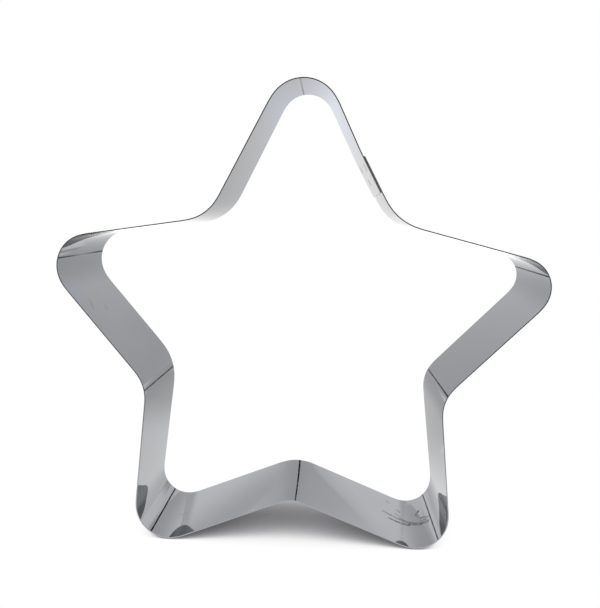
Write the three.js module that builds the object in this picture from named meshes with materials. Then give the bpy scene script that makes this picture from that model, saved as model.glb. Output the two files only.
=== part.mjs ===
// Star cake ring: one strip of bright stainless sheet bent into a star, its ends lapped and spot-welded.
// It stands on its two lower points, +Z up through the top point, with the ring's axis along Y.
import * as THREE from 'three';

// Sizes in millimetres
const sheet = 0.5; // thickness of the strip
const bandHeight = 50; // width of the strip, from one cut edge to the other
const pointReach = 130; // from the middle of the star to an arm's corner, before rounding
const valleyReach = 70.5; // from the middle of the star to an inner corner, before rounding
const tipRadius = 14.8; // bend at a point of the star, to the middle of the sheet
const valleyRadius = 21.4; // bend between two points, to the middle of the sheet
const lapLength = 17.7; // overlap of the strip's two ends
const lapSetback = 4.2; // straight strip between the inner end and the bend below it
const lapGap = 0.15; // room between the two plies of the lap
const weldDiameter = 4; // spot weld between the plies
const weldClearance = 0.02; // from a weld's face to the ply beside it
const weldSetback = 3.4; // from the outer end down to the first row of welds
const weldRowPitch = 7; // between the rows of welds
const weldEdge = 11.5; // from a cut edge to the nearest weld

// The ring is bent by hand, so its arms differ a little. They are listed from the top, anticlockwise seen from
// the front: how much further out than the even star an arm's corner lies, how many degrees it leans from its
// even share of the turn, how much wider its bend is, and how much further out the inner corner after it lies.
const arms = [
  { name: 'top', further: 6.35, lean: 0, wider: 0.1, valleyFurther: -1.2 },
  { name: 'left', further: 0.7, lean: -1.5, wider: 0.35, valleyFurther: 0.25 },
  { name: 'lower_left', further: 0.65, lean: 0.4, wider: 0, valleyFurther: 1.4 },
  { name: 'lower_right', further: -1.75, lean: 1.4, wider: -0.3, valleyFurther: -0.9 },
  { name: 'right', further: -1.3, lean: -0.4, wider: -2.3, valleyFurther: 1.35 },
];
const standsOn = ['lower_left', 'lower_right']; // the two points that touch the ground

// The spot welds: the row each is in, counted down from the outer end, and its place across the strip,
// from -1 nearest the front edge to 1 nearest the rear edge
const welds = [
  { name: 'spot_weld_front', row: 0, side: -1 },
  { name: 'spot_weld_rear', row: 0, side: 1 },
  { name: 'spot_weld_middle', row: 1, side: 0 },
];

// Counts
const arcSegments = 12; // pairs of facets in each bend
const weldSegments = 24;

const steel = { color: 0xb4b8be, roughness: 0.16, metalness: 1 };
const weldSteel = { color: 0x8d9094, roughness: 0.42, metalness: 1 };

function polar(distance, bearing) {
  const angle = THREE.MathUtils.degToRad(bearing);
  return new THREE.Vector2(-distance * Math.sin(angle), distance * Math.cos(angle));
}

// Unit vector from one point to another, and the one to its right
function heading(from, to) {
  return to.clone().sub(from).normalize();
}

function rightOf(direction) {
  return new THREE.Vector2(direction.y, -direction.x);
}

// The middle line's corners before rounding: each arm's point, then the valley halfway to the next arm
function starCorners() {
  const share = 360 / arms.length;
  const bearings = arms.map((arm, i) => i * share + arm.lean);
  bearings.push(bearings[0] + 360);
  return arms.flatMap((arm, i) => [
    { at: polar(pointReach + arm.further, bearings[i]), radius: tipRadius + arm.wider },
    {
      at: polar(valleyReach + arm.valleyFurther, (bearings[i] + bearings[i + 1]) / 2),
      radius: valleyRadius,
    },
  ]);
}

// The arc that rounds a corner of the middle line. turn is 1 to the left and -1 to the right.
function bendAt(before, corner, after) {
  const into = heading(before, corner.at);
  const out = heading(corner.at, after);
  const turn = Math.sign(into.cross(out));
  const sweep = into.angleTo(out);
  const tangent = corner.radius * Math.tan(sweep / 2);
  const spoke = rightOf(into).multiplyScalar(turn);
  const centre = corner.at.clone().addScaledVector(into, -tangent).addScaledVector(spoke, -corner.radius);
  const start = spoke.angle();
  return { centre, radius: corner.radius, turn, tangent, start, end: start + turn * sweep };
}

// The corners turned about the middle until the two lower points' bends stand level
function levelCorners(corners) {
  const feet = standsOn.map((name) => {
    const i = 2 * arms.findIndex((arm) => arm.name === name);
    const { centre, radius } = bendAt(corners[i - 1].at, corners[i], corners[i + 1].at);
    return new THREE.Vector2(centre.x, centre.y - radius);
  });
  const tilt = heading(feet[0], feet[1]).angle();
  const middle = new THREE.Vector2();
  return corners.map(({ at, radius }) => ({ at: at.clone().rotateAround(middle, -tilt), radius }));
}

// The strip's run: from the inner end of the lap up to the top point, round the star, and back up the
// same flank one ply further out to the outer end
function stripRun() {
  const corners = levelCorners(starCorners());
  const lastValley = corners.at(-1);
  const up = heading(lastValley.at, corners[0].at);
  const outward = rightOf(up);
  const step = sheet + lapGap;
  const approach = heading(corners.at(-2).at, lastValley.at);
  const outerValley = {
    at: lastValley.at.clone().addScaledVector(approach, step / outward.dot(approach)),
    radius: lastValley.radius,
  };
  const { tangent } = bendAt(corners.at(-2).at, outerValley, outerValley.at.clone().add(up));
  const lapFoot = outerValley.at.clone().addScaledVector(up, tangent + lapSetback);
  const outerEnd = lapFoot.clone().addScaledVector(up, lapLength);
  const innerEnd = lapFoot.clone().addScaledVector(outward, -step);
  const bent = [...corners.slice(0, -1), outerValley];
  const stops = [innerEnd, ...bent.map(({ at }) => at), outerEnd];
  const bends = bent.map((corner, i) => bendAt(stops[i], corner, stops[i + 2]));
  const gapEnd = outerEnd.clone().addScaledVector(outward, -step / 2);
  return { innerEnd, outerEnd, bends, up, outward, gapEnd };
}

// The strip seen along the ring's axis: its inner cut end, outer face, outer cut end and inner face
function stripOutline({ innerEnd, outerEnd, bends, outward }) {
  const half = outward.clone().multiplyScalar(sheet / 2);
  const inside = innerEnd.clone().sub(half);
  const outline = new THREE.Shape();
  outline.moveTo(inside.x, inside.y);
  outline.lineTo(inside.x + 2 * half.x, inside.y + 2 * half.y);
  for (const { centre, radius, turn, start, end } of bends) {
    outline.absarc(centre.x, centre.y, radius + turn * sheet / 2, start, end, turn < 0);
  }
  const outside = outerEnd.clone().add(half);
  outline.lineTo(outside.x, outside.y);
  outline.lineTo(outside.x - 2 * half.x, outside.y - 2 * half.y);
  for (const { centre, radius, turn, start, end } of bends.toReversed()) {
    outline.absarc(centre.x, centre.y, radius - turn * sheet / 2, end, start, turn > 0);
  }
  outline.closePath();
  return outline;
}

function makeBand(outline) {
  const settings = { depth: bandHeight, bevelEnabled: false, curveSegments: arcSegments };
  const geometry = new THREE.ExtrudeGeometry(outline, settings).rotateX(Math.PI / 2);
  const band = new THREE.Mesh(geometry, new THREE.MeshStandardMaterial(steel));
  band.name = 'star_band';
  band.position.y = bandHeight / 2;
  return band;
}

// The fused spots that hold the lap, each a disc in the gap between the plies
function makeWelds({ up, outward, gapEnd }) {
  const radius = weldDiameter / 2;
  const thickness = lapGap - 2 * weldClearance;
  const sideReach = bandHeight / 2 - weldEdge;
  const axis = new THREE.Vector3(outward.x, 0, outward.y);
  return welds.map(({ name, row, side }) => {
    const geometry = new THREE.CylinderGeometry(radius, radius, thickness, weldSegments);
    const weld = new THREE.Mesh(geometry, new THREE.MeshStandardMaterial(weldSteel));
    const spot = gapEnd.clone().addScaledVector(up, -weldSetback - row * weldRowPitch);
    weld.name = name;
    weld.position.set(spot.x, side * sideReach, spot.y);
    weld.quaternion.setFromUnitVectors(new THREE.Vector3(0, 1, 0), axis);
    return weld;
  });
}

const run = stripRun();
const outline = stripOutline(run);
const extent = new THREE.Box2().setFromPoints(outline.getPoints(arcSegments));
const ring = new THREE.Group();
ring.name = 'star_cake_ring';
ring.add(makeBand(outline), ...makeWelds(run));
ring.position.set(-(extent.min.x + extent.max.x) / 2, 0, -extent.min.y);

export default ring;
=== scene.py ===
import cmath
import math

import bpy
import numpy as np
from mathutils import Matrix, Vector


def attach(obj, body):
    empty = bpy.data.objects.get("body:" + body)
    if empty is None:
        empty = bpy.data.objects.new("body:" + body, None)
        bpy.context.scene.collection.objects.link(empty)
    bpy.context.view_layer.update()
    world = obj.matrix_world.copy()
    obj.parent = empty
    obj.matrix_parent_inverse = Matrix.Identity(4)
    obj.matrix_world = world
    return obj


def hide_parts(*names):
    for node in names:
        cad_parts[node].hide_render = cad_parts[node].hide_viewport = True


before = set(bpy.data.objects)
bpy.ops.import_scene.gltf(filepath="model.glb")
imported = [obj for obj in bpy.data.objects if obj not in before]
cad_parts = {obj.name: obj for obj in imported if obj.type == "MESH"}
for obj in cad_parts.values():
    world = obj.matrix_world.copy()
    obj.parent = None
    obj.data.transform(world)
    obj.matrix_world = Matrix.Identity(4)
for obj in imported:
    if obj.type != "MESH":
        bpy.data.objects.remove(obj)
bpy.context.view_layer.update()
print("star ring: frame loaded,", len(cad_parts), "solids")


# Camera, where the photograph was taken from. Angles in degrees, lengths in metres, the lens in millimetres.
photoView = {
    "place": (0.01948, -0.30478, 0.15780),
    "yaw": -3.80,  # to the right of straight ahead
    "pitch": 8.52,  # down
    "roll": 0.48,  # anticlockwise
    "lens": 37.94,
    "sensor": 36.0,
    "nearest": 0.005,
}


def setCamera():
    yaw, pitch, roll = (math.radians(photoView[name]) for name in ("yaw", "pitch", "roll"))
    ahead = Vector((math.sin(yaw) * math.cos(pitch), math.cos(yaw) * math.cos(pitch), -math.sin(pitch)))
    right = Vector((math.cos(yaw), -math.sin(yaw), 0))
    up = right.cross(ahead)
    turn = Matrix((right, up, -ahead)).transposed() @ Matrix.Rotation(roll, 3, "Z")
    lens = bpy.data.cameras.new("photoLens")
    lens.sensor_fit = "HORIZONTAL"
    lens.sensor_width = photoView["sensor"]
    lens.lens = photoView["lens"]
    lens.clip_start = photoView["nearest"]
    camera = bpy.data.objects.new("photoCamera", lens)
    camera.matrix_world = Matrix.Translation(photoView["place"]) @ turn.to_4x4()
    bpy.context.scene.collection.objects.link(camera)
    bpy.context.scene.camera = camera


setCamera()
print("star ring: camera set")


# Node helpers
def startMaterial(name):
    material = bpy.data.materials.new(name)
    material.use_nodes = True
    tree = material.node_tree
    return material, tree, tree.nodes["Principled BSDF"]


def addNode(tree, kind, inputs=None, **settings):
    node = tree.nodes.new(kind)
    for name, value in settings.items():
        setattr(node, name, value)
    for name, value in (inputs or {}).items():
        if isinstance(value, bpy.types.NodeSocket):
            tree.links.new(value, node.inputs[name])
        else:
            node.inputs[name].default_value = value
    return node


def addMath(tree, operation, first, second=0.0, clamp=False):
    settings = {"operation": operation, "use_clamp": clamp}
    return addNode(tree, "ShaderNodeMath", {0: first, 1: second}, **settings).outputs[0]


def addVector(tree, operation, first, second, output=0):
    return addNode(tree, "ShaderNodeVectorMath", {0: first, 1: second}, operation=operation).outputs[output]


def addScaled(tree, vector, scale):
    sockets = {0: vector, "Scale": scale}
    return addNode(tree, "ShaderNodeVectorMath", sockets, operation="SCALE").outputs[0]


def addParts(tree, vector):
    return addNode(tree, "ShaderNodeSeparateXYZ", {0: vector}).outputs


def addRange(tree, value, fromLow, fromHigh, toLow, toHigh, ease="LINEAR"):
    sockets = {"Value": value, "From Min": fromLow, "From Max": fromHigh, "To Min": toLow, "To Max": toHigh}
    return addNode(tree, "ShaderNodeMapRange", sockets, interpolation_type=ease).outputs["Result"]


def addNoise(tree, place, scale):
    sockets = {"Vector": place, "Scale": scale, "Detail": 2.0}
    return addNode(tree, "ShaderNodeTexNoise", sockets).outputs["Fac"]


def addStored(tree, name, output):
    return addNode(tree, "ShaderNodeAttribute", attribute_name=name).outputs[output]


def addBlend(tree, share, first, second):
    blend = addNode(tree, "ShaderNodeMix", data_type="RGBA")
    for name, value in (("Factor", share), ("A", first), ("B", second)):
        if isinstance(value, bpy.types.NodeSocket):
            tree.links.new(value, blend.inputs[name])
        else:
            blend.inputs[name].default_value = (*value, 1)
    return blend.outputs["Result"]


# The strip, in metres. Points in the ring's plane are complex numbers, x + z * 1j.
band = {
    "sheet": 0.0005,
    "height": 0.050,
    "lapLength": 0.0177,
    "lapSetback": 0.0042,  # straight strip between the inner end and the bend below it
    "lapGap": 0.00015,
    "lapBow": 0.0009,  # how far the flank is pressed in at the lap's outer end
    "lapBend": 0.03,  # radius of the bend there
    "easing": 0.008,  # length over which a bend starts and ends
    "lowerArms": (2, 3),  # the two that it stands on
    "rise": (0.0006, 0.0),  # how far the front and the rear edge stay off the ground
    "fineStep": 0.00025,  # between the points of an edge line
}
# Arms from the top, anticlockwise, each size at the front edge and at the rear edge: the corner's distance
# from the middle, its lean in degrees and its bend's radius, then the distance and radius of the inner
# corner that follows
arms = (
    {
        "reach": (0.1371, 0.1369), "lean": (-0.52, 0.12), "bend": (0.0163, 0.0136),
        "valley": (0.0695, 0.0687), "inner": (0.0200, 0.0250),
    },
    {
        "reach": (0.1303, 0.1311), "lean": (-1.14, -1.95), "bend": (0.0151, 0.0159),
        "valley": (0.0711, 0.0697), "inner": (0.0189, 0.0270),
    },
    {
        "reach": (0.1302, 0.1295), "lean": (0.73, 0.17), "bend": (0.0157, 0.0138),
        "valley": (0.0729, 0.0716), "inner": (0.0117, 0.0203),
    },
    {
        "reach": (0.1282, 0.1269), "lean": (1.53, 1.45), "bend": (0.0150, 0.0137),
        "valley": (0.0714, 0.0688), "inner": (0.0171, 0.0173),
    },
    {
        "reach": (0.1301, 0.1272), "lean": (-0.69, 0.11), "bend": (0.0134, 0.0116),
        "valley": (0.0718, 0.0720), "inner": (0.0239, 0.0232),
    },
)


def unit(z):
    return z / abs(z)


def straight(start, end):
    return {"from": start, "to": end, "length": abs(end - start)}


def bendAt(before, corner, after):
    at, radius = corner
    into, out = unit(at - before), unit(after - at)
    sweep = cmath.phase(out / into)
    tangent = radius * math.tan(abs(sweep) / 2)
    start = at - into * tangent
    return {
        "from": start,
        "to": at + out * tangent,
        "centre": start + into * 1j * math.copysign(radius, sweep),
        "sweep": sweep,
        "tangent": tangent,
        "length": radius * abs(sweep),
    }


def starCorners(edge):
    # Places and radii of the points and inner corners in turn, turned so that the two feet are level
    share = 360 / len(arms)
    bearings = [90 + i * share + arm["lean"][edge] for i, arm in enumerate(arms)]
    bearings.append(bearings[0] + 360)
    corners = []
    for i, arm in enumerate(arms):
        middle = (bearings[i] + bearings[i + 1]) / 2
        corners.append((cmath.rect(arm["reach"][edge], math.radians(bearings[i])), arm["bend"][edge]))
        corners.append((cmath.rect(arm["valley"][edge], math.radians(middle)), arm["inner"][edge]))
    feet = []
    for arm in band["lowerArms"]:
        i = 2 * arm
        feet.append(bendAt(corners[i - 1][0], corners[i], corners[i + 1][0])["centre"] - 1j * corners[i][1])
    level = unit(feet[1] - feet[0])
    return [(at / level, radius) for at, radius in corners]


def stripPieces(edge):
    # Straight and bent lengths in turn, from the inner end of the lap round the star to its outer end
    corners = starCorners(edge)
    valley, radius = corners[-1]
    before, top = corners[-2][0], corners[0][0]
    ply = band["sheet"] + band["lapGap"]
    rise = bendAt(before, corners[-1], top)["tangent"] + band["lapSetback"] + band["lapLength"]
    knee = valley + unit(top - valley) * (rise + 1j * band["lapBow"])
    up = unit(knee - valley)
    outward = up / 1j
    approach = unit(valley - before)
    outer = (valley + approach * ply / (approach * outward.conjugate()).real, radius)
    foot = outer[0] + up * (bendAt(before, outer, outer[0] + up)["tangent"] + band["lapSetback"])
    bent = [(knee, band["lapBend"])] + corners[:-1] + [outer]
    stops = [foot - outward * ply] + [at for at, _ in bent] + [foot + up * band["lapLength"]]
    pieces, at = [], stops[0]
    for i, corner in enumerate(bent):
        bend = bendAt(stops[i], corner, stops[i + 2])
        pieces += [straight(at, bend["from"]), bend]
        at = bend["to"]
    return pieces + [straight(at, stops[-1])]


def sampled(piece, count):
    share = np.arange(count) / count
    if "sweep" in piece:
        return piece["centre"] + (piece["from"] - piece["centre"]) * np.exp(1j * piece["sweep"] * share)
    return piece["from"] + (piece["to"] - piece["from"]) * share


def eased(line):
    reach = round(band["easing"] / band["fineStep"] / 2)
    lead = line[0] - (line[1] - line[0]) * np.arange(reach, 0, -1)
    tail = line[-1] + (line[-1] - line[-2]) * np.arange(1, reach + 1)
    window = np.ones(2 * reach + 1) / (2 * reach + 1)
    return np.convolve(np.concatenate((lead, line, tail)), window, "valid")


def edgeLines():
    # Distances along the strip, the front and rear edges there, and the middles of the star's bends
    runs = [stripPieces(edge) for edge in (0, 1)]
    lengths = [(front["length"] + rear["length"]) / 2 for front, rear in zip(*runs)]
    counts = [max(1, round(length / band["fineStep"])) for length in lengths]
    starts = np.concatenate(([0], np.cumsum(lengths)))
    along = np.concatenate([s + length * np.arange(n) / n for s, length, n in zip(starts, lengths, counts)])
    middles = (starts[3:-1:2] + starts[4::2]) / 2  # of the bends after the one at the lap
    lines = []
    for run, rise in zip(runs, band["rise"]):
        line = eased(np.concatenate([sampled(piece, count) for piece, count in zip(run, counts)]))
        lowest = line.imag.min() - band["sheet"] / 2 - rise
        lines.append(line - complex((line.real.min() + line.real.max()) / 2, lowest))
    return along, lines, middles


along, (frontLine, rearLine), bendMiddles = edgeLines()
frontWay, rearWay = np.gradient(frontLine, along), np.gradient(rearLine, along)
print("star ring: strip is %.1f mm long" % (along[-1] * 1000))


def stripFrame(s, across):
    # Place on the strip's middle surface, and the unit normal there, to the inside of the ring
    share = across / band["height"] + 0.5
    front, rear = np.interp(s, along, frontLine), np.interp(s, along, rearLine)
    way = unit(np.interp(s, along, frontWay) * (1 - share) + np.interp(s, along, rearWay) * share)
    slope = -(way.conjugate() * (rear - front)).imag / band["height"]
    inward = way * 1j
    normal = Vector((inward.real, slope, inward.imag)).normalized()
    return front + (rear - front) * share, normal


# Bright rolled sheet. stripPlace holds each point's distance along the strip, across it, and its side.
steelFinish = {
    "colour": (0.263, 0.270, 0.285),
    "grazing": (0.80, 0.80, 0.80),  # reflection at a low angle, against a perfect mirror
    "tone": 0.03,  # light and dark drift of the sheet
    "roughness": (0.03, 0.06),
    "rollingLines": 2600.0,  # noise cells in a metre across the strip
    "rollingStretch": 30.0,  # the same along it
    "rollingDepth": 0.000001,
    "waveCells": 22.0,  # slow swell of the sheet
    "waveDepth": 0.00001,
    "noiseSpan": (0.3, 0.7),  # most of a noise's values
}
# Rubbed strokes on the inside
scuff = {
    "colour": (0.012, 0.0125, 0.0135),
    "roughness": 0.3,  # added to the sheet's
    "edge": (0.2, 0.7),  # shares of the width between which a stroke fades
    "cells": 700.0,  # breaks in the strokes
    "cellSpan": (0.35, 0.6),
    "faintest": 0.25,
    "strokes": (  # from one place on the strip to another, width and strength
        ((0.4812, 0.0032), (0.4874, 0.0018), 0.0018, 0.65),
        ((0.4874, 0.0018), (0.4952, -0.0005), 0.0018, 0.8),
        ((0.4952, -0.0005), (0.4984, -0.0015), 0.0018, 0.8),
        ((0.4844, -0.0022), (0.4879, -0.0025), 0.0018, 0.8),
        ((0.4879, -0.0025), (0.4947, -0.0031), 0.0022, 0.9),
        ((0.4907, 0.0025), (0.4959, -0.0003), 0.0016, 0.65),
        ((0.4959, -0.0013), (0.5016, -0.0030), 0.0034, 0.75),
        ((0.5016, -0.0030), (0.5046, -0.0035), 0.0030, 0.65),
        ((0.5019, 0.0027), (0.5056, 0.0000), 0.0018, 0.6),
        ((0.5019, 0.0000), (0.5044, -0.0013), 0.0016, 0.5),
        ((0.5016, 0.0105), (0.4996, 0.0070), 0.0012, 1.0),
        ((0.4996, 0.0070), (0.5016, 0.0020), 0.0012, 0.5),
        ((0.4897, 0.0110), (0.4907, 0.0097), 0.0016, 0.55),
        ((0.4884, 0.0060), (0.4904, 0.0043), 0.0016, 0.5),
        ((0.4839, 0.0170), (0.4852, 0.0158), 0.0016, 0.45),
        ((0.2358, -0.0127), (0.2401, -0.0155), 0.0022, 0.22),
        ((0.2416, -0.0018), (0.2433, -0.0045), 0.0022, 0.2),
        ((0.3691, -0.0022), (0.3741, 0.0008), 0.0008, 0.4),
    ),
}


def addScuffs(tree, place):
    flat = addVector(tree, "MULTIPLY", place, (1, 1, 0))
    breaks = addNoise(tree, place, scuff["cells"])
    ragged = addRange(tree, breaks, *scuff["cellSpan"], scuff["faintest"], 1.0)
    full, gone = scuff["edge"]
    worn = None
    for start, end, width, strength in scuff["strokes"]:
        run = Vector((*end, 0)) - Vector((*start, 0))
        away = addVector(tree, "SUBTRACT", flat, (*start, 0))
        share = addVector(tree, "DOT_PRODUCT", away, run / run.length_squared, "Value")
        share = addMath(tree, "ADD", share, 0.0, clamp=True)
        gap = addVector(tree, "DISTANCE", away, addScaled(tree, run, share), "Value")
        stroke = addRange(tree, gap, full * width, gone * width, strength, 0.0, "SMOOTHSTEP")
        worn = addMath(tree, "MAXIMUM", worn, stroke) if worn else stroke
    inside = addMath(tree, "GREATER_THAN", addParts(tree, place)["Z"], 0.0)
    return addMath(tree, "MULTIPLY", addMath(tree, "MULTIPLY", worn, ragged), inside)


def makeSteel():
    material, tree, shader = startMaterial("brightSteel")
    place = addStored(tree, "stripPlace", "Vector")
    stretch = (steelFinish["rollingStretch"], steelFinish["rollingLines"], 1.0)
    lines = addNoise(tree, addVector(tree, "MULTIPLY", place, stretch), 1.0)
    swell = addNoise(tree, place, steelFinish["waveCells"])
    tone = steelFinish["tone"]
    drift = addRange(tree, swell, *steelFinish["noiseSpan"], 1 - tone, 1 + tone)
    worn = addScuffs(tree, place)
    colour = addBlend(tree, worn, addScaled(tree, steelFinish["colour"], drift), scuff["colour"])
    tree.links.new(colour, shader.inputs["Base Color"])
    rough = addRange(tree, lines, *steelFinish["noiseSpan"], *steelFinish["roughness"])
    rough = addMath(tree, "ADD", rough, addMath(tree, "MULTIPLY", worn, scuff["roughness"]))
    tree.links.new(rough, shader.inputs["Roughness"])
    waves = {"Height": swell, "Distance": steelFinish["waveDepth"]}
    waves = addNode(tree, "ShaderNodeBump", waves).outputs[0]
    rolled = {"Height": lines, "Distance": steelFinish["rollingDepth"], "Normal": waves}
    tree.links.new(addNode(tree, "ShaderNodeBump", rolled).outputs[0], shader.inputs["Normal"])
    shader.inputs["Metallic"].default_value = 1.0
    shader.inputs["Specular Tint"].default_value = (*steelFinish["grazing"], 1)
    return material


# Sheared edge of the strip, duller than its faces
edgeFinish = {
    "dark": (0.24, 0.243, 0.25),
    "light": (0.37, 0.374, 0.382),
    "dressed": (0.80, 0.81, 0.83),  # rubbed smooth where the ends lap
    "dressedFade": 0.0015,
    "roughness": 0.28,
    "cells": 900.0,
}


def makeCutEdge():
    material, tree, shader = startMaterial("cutEdge")
    place = addStored(tree, "stripPlace", "Vector")
    grain = addNoise(tree, place, edgeFinish["cells"])
    sheared = addBlend(tree, grain, edgeFinish["dark"], edgeFinish["light"])
    fromStart = addParts(tree, place)["X"]
    toEnd = addMath(tree, "MINIMUM", fromStart, addMath(tree, "SUBTRACT", along[-1], fromStart))
    reach = band["lapLength"]
    lapped = addRange(tree, toEnd, reach, reach + edgeFinish["dressedFade"], 1.0, 0.0)
    tree.links.new(addBlend(tree, lapped, sheared, edgeFinish["dressed"]), shader.inputs["Base Color"])
    shader.inputs["Metallic"].default_value = 1.0
    shader.inputs["Roughness"].default_value = edgeFinish["roughness"]
    return material


# Marks scribed across the inside at the bends, which are numbered from the top, anticlockwise: distance past
# the bend's middle at the front and rear edge, and how dark they are at the front, halfway and at the rear
marks = {
    0: {"front": 0.0018, "rear": 0.0026, "ink": (0.25, 0.35, 0.55)},
    2: {"front": 0.0015, "rear": 0.0015, "ink": (1.0, 0.15, 0.9)},
    3: {"front": 0.0027, "rear": 0.0023, "ink": (0.8, 0.8, 0.7)},
    4: {"front": 0.0007, "rear": 0.0011, "ink": (1.0, 1.0, 1.0)},
    5: {"front": 0.0028, "rear": 0.0012, "ink": (0.9, 1.0, 1.0)},
    6: {"front": 0.0026, "rear": 0.0023, "ink": (0.65, 0.7, 0.65)},
    7: {"front": 0.0029, "rear": 0.0028, "ink": (0.9, 0.75, 0.7)},
    8: {"front": 0.0019, "rear": 0.0021, "ink": (0.85, 0.7, 0.7)},
}
groove = {
    "width": 0.0008,
    "depth": 0.00005,
    "section": ((-1, 0), (-0.5, 0.8), (0, 1), (0.5, 0.8), (1, 0)),  # shares of half the width and the depth
    "dark": (0.010, 0.010, 0.012),
    "roughness": 0.12,
    "cells": 300.0,  # worn stretches of the line
    "cellSpan": (0.35, 0.65),
    "wear": (1.1, 0.8),  # shares of the ink at either end of that span
}


def makeScribe():
    # markInk is how dark a groove is
    material, tree, shader = startMaterial("scribedMark")
    place = addStored(tree, "stripPlace", "Vector")
    wear = addRange(tree, addNoise(tree, place, groove["cells"]), *groove["cellSpan"], *groove["wear"])
    ink = addMath(tree, "MULTIPLY", addStored(tree, "markInk", "Fac"), wear, clamp=True)
    tree.links.new(addBlend(tree, ink, steelFinish["colour"], groove["dark"]), shader.inputs["Base Color"])
    tree.links.new(addMath(tree, "SUBTRACT", 1.0, ink), shader.inputs["Metallic"])
    shader.inputs["Specular IOR Level"].default_value = 0.0
    shader.inputs["Specular Tint"].default_value = (*steelFinish["grazing"], 1)
    shader.inputs["Roughness"].default_value = groove["roughness"]
    return material


# Mesh of the strip
bandMesh = {
    "step": 0.0006,  # along the strip
    "rows": 10,  # across a face
    "edgeRound": 0.00003,
    "edgeSteps": 4,
    "ends": ((0.0, 0.6), (0.3, 0.2)),  # way in from an end, and shrink there, in shares of edgeRound
    "innerEndInk": (0.6, 0.6, 0.6),  # burnt line along the inner end
}


def columnPlaces():
    # Columns of points along the strip: place at the front and at the rear edge, depth in a groove,
    # shrink at an end, and ink
    total, rounding, half = along[-1], bandMesh["edgeRound"], groove["width"] / 2
    shoulder = half + rounding
    margin = shoulder + bandMesh["step"] / 2
    columns, kept = [], []
    for share, shrink in bandMesh["ends"]:
        s = share * rounding
        columns.append((s, s, 0.0, shrink, None if s else bandMesh["innerEndInk"]))
        columns.append((total - s, total - s, 0.0, shrink, None))
    for i, mark in marks.items():
        front, rear = bendMiddles[i] + mark["front"], bendMiddles[i] + mark["rear"]
        kept.append((min(front, rear) - margin, max(front, rear) + margin))
        for offset, depth in groove["section"]:
            place = offset * half
            columns.append((front + place, rear + place, depth * groove["depth"], 0.0, mark["ink"]))
        columns += [(front + side * shoulder, rear + side * shoulder, 0.0, 0.0, None) for side in (-1, 1)]
    for s in np.arange(rounding, total - rounding, bandMesh["step"]):
        if all(s < low or s > high for low, high in kept):
            columns.append((s, s, 0.0, 0.0, None))
    return sorted(columns, key=lambda column: column[0] + column[1])


def stripProfile(shrink):
    # Round the strip's section from the inner face: offset to the inside, place across, the normal's angle
    # and the zone
    rows, steps = bandMesh["rows"], bandMesh["edgeSteps"]
    rounding = bandMesh["edgeRound"] * (1 - shrink)
    thick = band["sheet"] / 2 - bandMesh["edgeRound"]
    wide = band["height"] / 2 - bandMesh["edgeRound"]
    points = [(thick + rounding, wide * (2 * k / rows - 1), 0.0, "inside") for k in range(rows)]
    for corner, (side, end) in enumerate(((1, 1), (-1, 1), (-1, -1), (1, -1))):
        for k in range(steps + 1):
            angle = math.pi / 2 * (corner + k / steps)
            offset = side * thick + rounding * math.cos(angle)
            across = end * wide + rounding * math.sin(angle)
            zone = "round" if k < steps else ("edge", "outside", "edge", "inside")[corner]
            points.append((offset, across, angle, zone))
        if corner == 1:  # the outer face comes next
            across = [wide * (1 - 2 * k / rows) for k in range(1, rows)]
            points += [(-thick - rounding, y, math.pi, "outside") for y in across]
    return points[:-1]


def bandPoints(columns):
    verts, places, inks, normals = [], [], [], []
    half = band["height"] / 2
    for front, rear, depth, shrink, ink in columns:
        for offset, across, angle, _ in stripProfile(shrink):
            s = front + (rear - front) * (across / band["height"] + 0.5)
            at, normal = stripFrame(s, across)
            inside = offset > band["sheet"] / 4
            sunk = depth if inside else 0.0
            point = at + unit(complex(normal.x, normal.z)) * (offset - sunk)
            verts.append((point.real, across, point.imag))
            places.append((s, across, 1.0 if inside else -1.0))
            inks.append(np.interp(across, (-half, 0, half), ink) if ink else 0.0)
            facing = normal * math.cos(angle) + Vector((0, math.sin(angle), 0))
            flat = shrink == 0 and not sunk
            normals.append(facing.normalized() if flat else (0.0, 0.0, 0.0))  # zero leaves it to the mesh
    return verts, places, inks, normals


def bandFaces(columns):
    profile = stripProfile(0)
    count = len(profile)
    faces, finishes = [], []
    for i in range(len(columns) - 1):
        marked = columns[i][-1] and columns[i + 1][-1]
        for j, (_, _, _, zone) in enumerate(profile):
            k = (j + 1) % count
            faces.append((i * count + j, (i + 1) * count + j, (i + 1) * count + k, i * count + k))
            if zone == "edge":
                finishes.append("cutEdge")
            else:
                finishes.append("scribe" if marked and zone == "inside" else "steel")
    last = (len(columns) - 1) * count
    faces.append(tuple(range(count)))
    faces.append(tuple(reversed(range(last, last + count))))
    finishes += ["scribe", "cutEdge"]  # the inner end and the outer one
    return faces, finishes


def addPiece(mesh, node):
    piece = bpy.data.objects.new(mesh.name, mesh)
    bpy.context.scene.collection.objects.link(piece)
    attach(piece, "root")
    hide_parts(node)


def makeBand():
    materials = {"steel": makeSteel(), "cutEdge": makeCutEdge(), "scribe": makeScribe()}
    columns = columnPlaces()
    verts, places, inks, normals = bandPoints(columns)
    faces, finishes = bandFaces(columns)
    mesh = bpy.data.meshes.new("starBand")
    mesh.from_pydata(verts, [], faces)
    for material in materials.values():
        mesh.materials.append(material)
    order = list(materials)
    mesh.polygons.foreach_set("material_index", [order.index(finish) for finish in finishes])
    mesh.shade_smooth()
    place = mesh.attributes.new("stripPlace", "FLOAT_VECTOR", "POINT")
    place.data.foreach_set("vector", np.array(places, dtype=np.float32).ravel())
    mesh.attributes.new("markInk", "FLOAT", "POINT").data.foreach_set("value", inks)
    mesh.normals_split_custom_set_from_vertices(normals)
    mesh.validate()
    addPiece(mesh, "star_band")


makeBand()
print("star ring: strip made")


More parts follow.
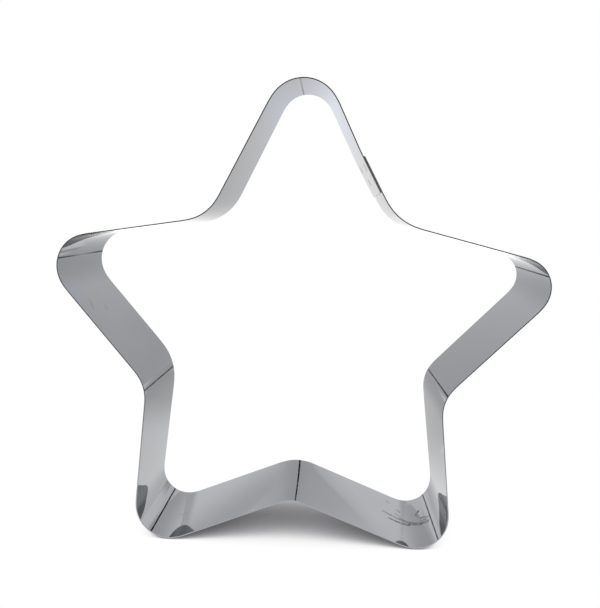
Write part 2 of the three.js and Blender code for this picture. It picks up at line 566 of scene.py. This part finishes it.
# Spot welds through both plies of the lap
weld = {
    "places": {  # distance below the outer end, and behind the strip's middle
        "spot_weld_front": (0.0041, -0.012),
        "spot_weld_rear": (0.0026, 0.015),
        "spot_weld_middle": (0.0104, 0.005),
    },
    "radius": 0.0019,
    "dish": (  # share of the radius, and height above the sheet
        (0.0, -0.00002), (0.35, -0.00002), (0.6, 0.00001), (0.8, 0.00004), (0.92, 0.00004), (1.0, -0.00005),
    ),
    "turns": 32,
    "pale": (0.30, 0.29, 0.28),
    "tint": (0.13, 0.105, 0.09),
    "tintFrom": (0.45, 0.95),  # shares of the radius
    "faintTint": 0.1,
    "roughness": 0.3,
}


def makeWeldSteel():
    # Straw and brown towards the rim, where the heat has tinted it
    material, tree, shader = startMaterial("weldSteel")
    rim = addStored(tree, "weldRim", "Fac")
    burnt = addRange(tree, rim, *weld["tintFrom"], weld["faintTint"], 1.0, "SMOOTHSTEP")
    tree.links.new(addBlend(tree, burnt, weld["pale"], weld["tint"]), shader.inputs["Base Color"])
    shader.inputs["Metallic"].default_value = 1.0
    shader.inputs["Roughness"].default_value = weld["roughness"]
    return material


def makeWeld(node, down, across, material):
    at, normal = stripFrame(along[-1] - down, across)
    depth = band["sheet"] + band["lapGap"]
    middle = Vector((at.real, across, at.imag)) + normal * depth / 2
    side = Vector((0, 1, 0)).cross(normal).normalized()
    ahead = normal.cross(side)
    half = (band["sheet"] + depth) / 2
    profile = [(share, half + rise) for share, rise in weld["dish"]]
    profile += [(share, -height) for share, height in reversed(profile)]
    counts = [weld["turns"] if share else 1 for share, _ in profile]
    starts = np.cumsum([0] + counts)
    verts, rims, faces = [], [], []
    for (share, height), count in zip(profile, counts):
        for k in range(count):
            turn = 2 * math.pi * k / count
            spoke = side * math.cos(turn) + ahead * math.sin(turn)
            verts.append(middle + spoke * weld["radius"] * share + normal * height)
            rims.append(share)
    for i in range(len(profile) - 1):
        for k in range(weld["turns"]):
            n = (k + 1) % weld["turns"]
            if counts[i] == 1:
                faces.append((starts[i], starts[i + 1] + k, starts[i + 1] + n))
            elif counts[i + 1] == 1:
                faces.append((starts[i] + k, starts[i + 1], starts[i] + n))
            else:
                faces.append((starts[i] + k, starts[i + 1] + k, starts[i + 1] + n, starts[i] + n))
    first, *rest = node.split("_")
    mesh = bpy.data.meshes.new(first + "".join(word.title() for word in rest))
    mesh.from_pydata(verts, [], faces)
    mesh.materials.append(material)
    mesh.shade_smooth()
    mesh.attributes.new("weldRim", "FLOAT", "POINT").data.foreach_set("value", rims)
    addPiece(mesh, node)


weldSteel = makeWeldSteel()
for node, (down, across) in weld["places"].items():
    makeWeld(node, down, across, weldSteel)
print("star ring: welds made")


def addStage(name, material, corners):
    mesh = bpy.data.meshes.new(name)
    mesh.from_pydata(corners, [], [(0, 1, 2, 3)])
    mesh.materials.append(material)
    sheet = bpy.data.objects.new(name, mesh)
    bpy.context.scene.collection.objects.link(sheet)
    return sheet


# White floor, with a painted soft shadow where the ring stands. The steel shows it lighter and darker in
# places, as painted light and shade.
floorLook = {
    "width": 8.0,
    "drop": 0.00005,
    "shadowReach": 0.08,  # how far a surface darkens the floor
    "shadowSamples": 32,
    "shadowTones": (  # share of open sky, and brightness
        (0.08, 0.095), (0.12, 0.19), (0.17, 0.262), (0.24, 0.42), (0.31, 0.66), (0.41, 0.90), (0.60, 1.0),
    ),
    "shadowPower": (1.003, 1.005, 0.975),  # turns the shadow a little blue
    "archPlace": (-0.006, 0.025, 0.0),  # painted shadow, darker under the inner corner at the bottom
    "archReach": 0.04,
    "archShade": 0.58,
    "mirrored": (1.36, 0.92),  # painted brightness that the steel shows, close and further off
    "lean": (0.7, 1.0, 0.0),  # the way from close to further off
    "fade": (0.05, 0.16),  # distances that way between which it falls
    "front": (-0.25, -0.07),  # distances before the ring between which its painted brightness grows
    "frontShare": 0.18,
    "back": (0.055, 0.09),  # distances behind the ring between which painted light brightens it, beside two bands of painted shade
    "backTone": 1.45,
    "bandCross": 0.235,  # how far behind the bands cross
    "bandSpread": 0.5,  # how fast they draw apart from there
    "bandEdge": (0.004, 0.032),  # distances from a band's middle between which it fades out
}


# Painted shadow: the floor's colour darkens where little open sky lies within shadowReach, and more still
# near archPlace
def addShadow(tree, place):
    sky = {"Distance": floorLook["shadowReach"]}
    sky = addNode(tree, "ShaderNodeAmbientOcclusion", sky, samples=floorLook["shadowSamples"]).outputs["AO"]
    arch = addVector(tree, "DISTANCE", place, floorLook["archPlace"], "Value")
    arch = addRange(tree, arch, 0.0, floorLook["archReach"], floorLook["archShade"], 1.0, "SMOOTHSTEP")
    ramp = addNode(tree, "ShaderNodeValToRGB", {"Fac": addMath(tree, "MULTIPLY", sky, arch)})
    stops = ramp.color_ramp.elements
    stops.remove(stops[1])
    for i, (share, tone) in enumerate(floorLook["shadowTones"]):
        stop = stops.new(share) if i else stops[0]
        stop.position = share
        stop.color = (*(tone ** power for power in floorLook["shadowPower"]), 1)
    return ramp.outputs["Color"]


# Painted light and shade on the floor, shown only to the steel: bright close by, dimmer further off,
# brighter again behind apart from two dimmer bands, and dimmer in front
def addFloorTone(tree, place):
    parts = addParts(tree, place)
    off = addVector(tree, "DOT_PRODUCT", place, floorLook["lean"], "Value")
    tone = addRange(tree, off, *floorLook["fade"], *floorLook["mirrored"], "SMOOTHSTEP")
    middle = addMath(tree, "ABSOLUTE", addMath(tree, "SUBTRACT", parts["Y"], floorLook["bandCross"]))
    middle = addMath(tree, "MULTIPLY", middle, floorLook["bandSpread"])
    beside = addMath(tree, "SUBTRACT", addMath(tree, "ABSOLUTE", parts["X"]), middle)
    beside = addMath(tree, "ABSOLUTE", beside)
    beside = addRange(tree, beside, *floorLook["bandEdge"], 0.0, floorLook["backTone"], "SMOOTHSTEP")
    behind = addRange(tree, parts["Y"], *floorLook["back"], 0.0, 1.0)
    tone = addMath(tree, "MAXIMUM", tone, addMath(tree, "MULTIPLY", beside, behind))
    before = addRange(tree, parts["Y"], *floorLook["front"], floorLook["frontShare"], 1.0, "SMOOTHSTEP")
    return addMath(tree, "MULTIPLY", tone, before)


def makeFloor():
    material, tree, shader = startMaterial("paleFloor")
    shader.inputs["Base Color"].default_value = (1, 1, 1, 1)
    shader.inputs["Roughness"].default_value = 1.0
    shader.inputs["Specular IOR Level"].default_value = 0.0
    place = addNode(tree, "ShaderNodeNewGeometry").outputs["Position"]
    rays = addNode(tree, "ShaderNodeLightPath").outputs
    strength = addRange(tree, rays["Is Glossy Ray"], 0.0, 1.0, 1.0, addFloorTone(tree, place))
    shown = addNode(tree, "ShaderNodeEmission", {"Color": addShadow(tree, place), "Strength": strength})
    seen = addMath(tree, "MAXIMUM", rays["Is Camera Ray"], rays["Is Glossy Ray"])
    look = addNode(tree, "ShaderNodeMixShader", {0: seen, 1: shader.outputs[0], 2: shown.outputs[0]})
    tree.links.new(look.outputs[0], tree.nodes["Material Output"].inputs["Surface"])
    reach, level = floorLook["width"] / 2, -floorLook["drop"]
    corners = [(x * reach, y * reach, level) for x, y in ((-1, -1), (1, -1), (1, 1), (-1, 1))]
    addStage("floor", material, corners)


# Upright sheets behind the ring that only the steel shows: a white card, and a wall seen under it. Both
# glow, with painted light and shade across them.
cardLook = {
    "width": 3.0,
    "top": 1.5,
    "foot": 0.066,
    "place": (-0.004, 0.16, 0.09),  # where its painted shade is darkest
    "tone": (1.0, 2.72),  # painted brightness there, and at its rim
    "rim": 0.25,
    "stretch": (1.0, 0.0, 0.66),  # it brightens faster sideways
    "blue": (0.965, 0.992, 1.06),  # tint higher up
    "blueFrom": (0.178, 0.205),
}
wallLook = {
    "away": 0.40,
    "top": 0.25,
    "middle": (0.95, 1.42),  # painted brightness of its middle below and above
    "raise": (0.06, 0.10),  # heights between which that changes
    "sides": (1.53, 1.14),  # painted brightness of its sides below and above
    "rise": (-0.1, 0.0, 1.0),  # the way that changes
    "fade": (0.108, 0.146),  # distances that way between which it does
    "edge": (0.104, 0.126),  # distances to the side between which its middle ends
    "taper": 0.2,  # sooner higher up
}


# Painted shade in the card's middle, growing to painted light towards its rim
def addCardTone(tree, place):
    out = addVector(tree, "SUBTRACT", place, cardLook["place"])
    out = addVector(tree, "MULTIPLY", out, cardLook["stretch"])
    square = addVector(tree, "DOT_PRODUCT", out, out, "Value")
    return addRange(tree, square, 0.0, cardLook["rim"] ** 2, *cardLook["tone"])


# Painted light and shade on the wall: its middle darker low down, its sides brighter low down
def addWallTone(tree, place):
    parts = addParts(tree, place)
    middle = addRange(tree, parts["Z"], *wallLook["raise"], *wallLook["middle"], "SMOOTHSTEP")
    height = addVector(tree, "DOT_PRODUCT", place, wallLook["rise"], "Value")
    side = addRange(tree, height, *wallLook["fade"], *wallLook["sides"], "SMOOTHSTEP")
    up = addMath(tree, "MULTIPLY", parts["Z"], wallLook["taper"])
    out = addMath(tree, "ADD", addMath(tree, "ABSOLUTE", parts["X"]), up)
    return addRange(tree, out, *wallLook["edge"], middle, side, "SMOOTHSTEP")


def makeCard(name, away, foot, top, addTone):
    material, tree, _ = startMaterial(name)
    place = addNode(tree, "ShaderNodeNewGeometry").outputs["Position"]
    high = addRange(tree, addParts(tree, place)["Z"], *cardLook["blueFrom"], 0.0, 1.0, "SMOOTHSTEP")
    tint = addBlend(tree, high, (1, 1, 1), cardLook["blue"])
    glow = addNode(tree, "ShaderNodeEmission", {"Color": tint, "Strength": addTone(tree, place)})
    tree.links.new(glow.outputs[0], tree.nodes["Material Output"].inputs["Surface"])
    half = cardLook["width"] / 2
    corners = [(-half, away, foot), (half, away, foot), (half, away, top), (-half, away, top)]
    card = addStage(name, material, corners)
    for sense in ("camera", "diffuse", "transmission", "volume_scatter", "shadow"):
        setattr(card, "visible_" + sense, False)


# Light from all round. The steel shows a room that is darker on the viewer's side, and a light overhead.
roomLook = {
    "fill": 1.0,  # light on other surfaces
    "mirrored": 1.1,  # brightness behind the ring
    "viewerSide": 0.11,
    "viewerEdge": (-0.45, 0.05),  # how far a ray points away from the viewer, between the two
    "overhead": 2.2,
    "overheadEdge": (0.45, 0.75),  # how far a ray points up
}


def makeLight():
    world = bpy.data.worlds.new("whiteSurround")
    bpy.context.scene.world = world
    world.use_nodes = True
    tree = world.node_tree
    background = tree.nodes["Background"]
    rays = addNode(tree, "ShaderNodeLightPath").outputs
    parts = addParts(tree, addNode(tree, "ShaderNodeTexCoord").outputs["Generated"])
    tones = roomLook["viewerSide"], roomLook["mirrored"]
    room = addRange(tree, parts["Y"], *roomLook["viewerEdge"], *tones, "SMOOTHSTEP")
    above = addRange(tree, parts["Z"], *roomLook["overheadEdge"], 0.0, roomLook["overhead"], "SMOOTHSTEP")
    shown = addMath(tree, "ADD", room, above)
    seen = addMath(tree, "MAXIMUM", rays["Is Camera Ray"], rays["Is Transmission Ray"])
    given = {"Factor": rays["Is Glossy Ray"], "A": roomLook["fill"], "B": shown}
    given = addNode(tree, "ShaderNodeMix", given).outputs["Result"]
    strength = addNode(tree, "ShaderNodeMix", {"Factor": seen, "A": given, "B": 1.0}).outputs["Result"]
    background.inputs["Color"].default_value = (1, 1, 1, 1)
    tree.links.new(strength, background.inputs["Strength"])


makeFloor()
makeCard("whiteCard", cardLook["place"][1], cardLook["foot"], cardLook["top"], addCardTone)
makeCard("whiteWall", wallLook["away"], 0.0, wallLook["top"], addWallTone)
makeLight()
bpy.context.scene.view_settings.view_transform = "Standard"
print("star ring: floor and light set")
